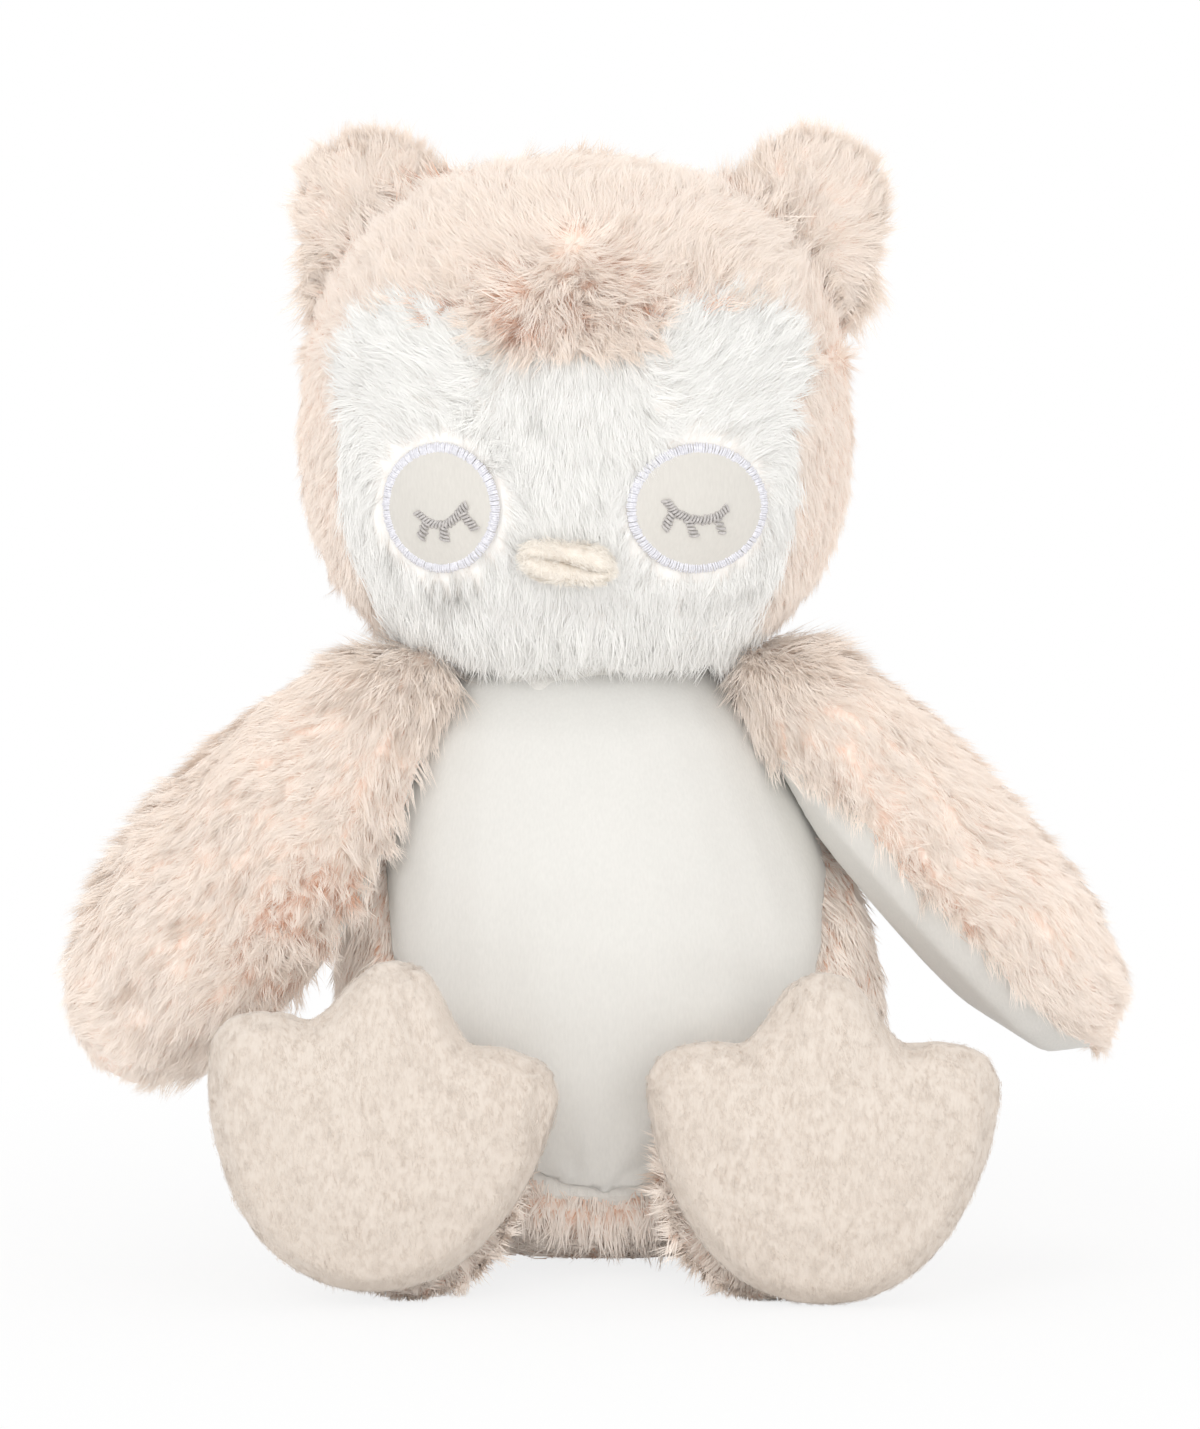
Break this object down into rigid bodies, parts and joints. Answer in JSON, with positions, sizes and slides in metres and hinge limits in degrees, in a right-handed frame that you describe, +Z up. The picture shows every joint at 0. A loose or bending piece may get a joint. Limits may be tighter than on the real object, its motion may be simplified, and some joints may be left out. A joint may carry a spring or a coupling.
{
  "type": "plush owl",
  "caption": "Seated stuffed owl with two ears, two hanging wings, short legs and flat three-toed feet; head, wings and legs turn at their seams.",
  "frame": {"origin": "on the surface that the owl sits on, under its body, at the middle of the flat seat", "axes": "+Z up, the face looks along -Y; left in a name is -X and right is +X, as seen from the front"},
  "size_m": [0.2524, 0.1395, 0.2691],
  "materials": {
    "pink_pile": "long pink pile",
    "white_pile": "long white pile",
    "smooth_pile": "short smooth white pile",
    "greige_pile": "short greige pile",
    "cream_fleece": "cream fleece",
    "white_thread": "satin-stitched thread",
    "grey_thread": "satin-stitched silver-grey thread",
    "fibre_fill": "white polyester fibre",
    "bag_cotton": "woven cotton"
  },
  "bodies": {
    "torso": {"body_cover_left": "pink_pile", "body_cover_right": "pink_pile", "belly_panel": "smooth_pile", "body_stuffing": "fibre_fill", "pellet_bag": "bag_cotton"},
    "head": {"crown_left": "pink_pile", "crown_right": "pink_pile", "face_panel": "white_pile", "head_stuffing": "fibre_fill", "ear_front_left": "pink_pile", "ear_back_left": "pink_pile", "ear_front_right": "pink_pile", "ear_back_right": "pink_pile", "eye_patch_left": "smooth_pile", "eye_patch_right": "smooth_pile", "eye_ring_left": "white_thread", "eye_ring_right": "white_thread", "eye_lash_left": "grey_thread", "eye_lash_right": "grey_thread", "beak_upper": "cream_fleece", "beak_lower": "cream_fleece"},
    "wing_left": {"wing_outer_left": "pink_pile", "wing_lining_left": "smooth_pile", "wing_stuffing_left": "fibre_fill"},
    "wing_right": {"wing_outer_right": "pink_pile", "wing_lining_right": "smooth_pile", "wing_stuffing_right": "fibre_fill"},
    "leg_left": {"leg_cover_left": "pink_pile", "leg_stuffing_left": "fibre_fill", "foot_sole_left": "greige_pile", "foot_top_left": "greige_pile", "foot_stuffing_left": "fibre_fill"},
    "leg_right": {"leg_cover_right": "pink_pile", "leg_stuffing_right": "fibre_fill", "foot_sole_right": "greige_pile", "foot_top_right": "greige_pile", "foot_stuffing_right": "fibre_fill"}
  },
  "joints": [
    {"name": "head_turn", "type": "hinge", "parent": "torso", "child": "head", "pos_m": [-0.0058, 0, 0.143], "axis": [0, 0, 1], "range_deg": [-20, 20]},
    {"name": "wing_left_swing", "type": "hinge", "parent": "torso", "child": "wing_left", "pos_m": [-0.042, -0.02, 0.146], "axis": [0, 1, 0], "range_deg": [0, 45]},
    {"name": "wing_right_swing", "type": "hinge", "parent": "torso", "child": "wing_right", "pos_m": [0.038, -0.013, 0.146], "axis": [0, -1, 0], "range_deg": [0, 45]},
    {"name": "leg_left_swing", "type": "hinge", "parent": "torso", "child": "leg_left", "pos_m": [-0.044, -0.031, 0.018], "axis": [-1, 0, 0], "range_deg": [-45, 12]},
    {"name": "leg_right_swing", "type": "hinge", "parent": "torso", "child": "leg_right", "pos_m": [0.039, -0.031, 0.018], "axis": [-1, 0, 0], "range_deg": [-45, 12]}
  ]
}
